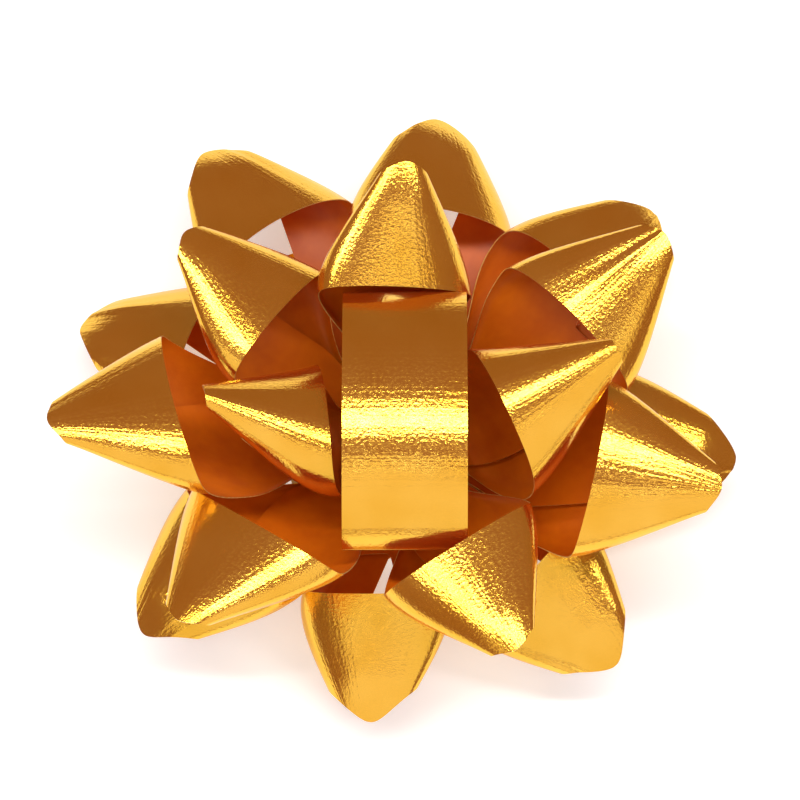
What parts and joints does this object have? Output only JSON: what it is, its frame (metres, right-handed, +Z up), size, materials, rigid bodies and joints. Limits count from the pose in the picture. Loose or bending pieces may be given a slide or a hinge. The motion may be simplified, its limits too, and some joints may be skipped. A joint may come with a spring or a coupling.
{
  "type": "pre-made gift bow",
  "caption": "Star gift bow of gold metallised ribbon: pointed loops in tiers round a pinned hub, a round crown loop, and a peel-and-stick pad with a release liner underneath.",
  "frame": {"origin": "centre of the release liner's underside", "axes": "+Z up through the hub, +Y toward the back, the crown loop runs along Y"},
  "size_m": [0.089, 0.0838, 0.0341],
  "materials": {
    "ribbon_film": "metallised film, satin gold outside, matt orange-brown inside",
    "clear_plastic": "clear moulded plastic",
    "card": "uncoated white card",
    "foam": "white closed-cell foam with adhesive faces",
    "liner_paper": "silicone-coated release paper"
  },
  "bodies": {
    "bow": {"lower_loop_1": "ribbon_film", "lower_loop_2": "ribbon_film", "lower_loop_3": "ribbon_film", "lower_loop_4": "ribbon_film", "lower_loop_5": "ribbon_film", "lower_loop_6": "ribbon_film", "lower_loop_7": "ribbon_film", "lower_loop_8": "ribbon_film", "middle_loop_1": "ribbon_film", "middle_loop_2": "ribbon_film", "middle_loop_3": "ribbon_film", "middle_loop_4": "ribbon_film", "middle_loop_5": "ribbon_film", "middle_loop_6": "ribbon_film", "middle_loop_7": "ribbon_film", "upper_loop_1": "ribbon_film", "upper_loop_2": "ribbon_film", "crown_loop": "ribbon_film", "hub_stack": "ribbon_film", "ribbon_tail": "ribbon_film", "hub_pin": "clear_plastic", "base_disc": "card", "adhesive_pad": "foam"},
    "liner": {"release_liner": "liner_paper"}
  },
  "joints": [
    {"name": "liner_peel", "type": "slide", "parent": "bow", "child": "liner", "axis": [0, 0, -1], "range_m": [0, 0.03]}
  ]
}
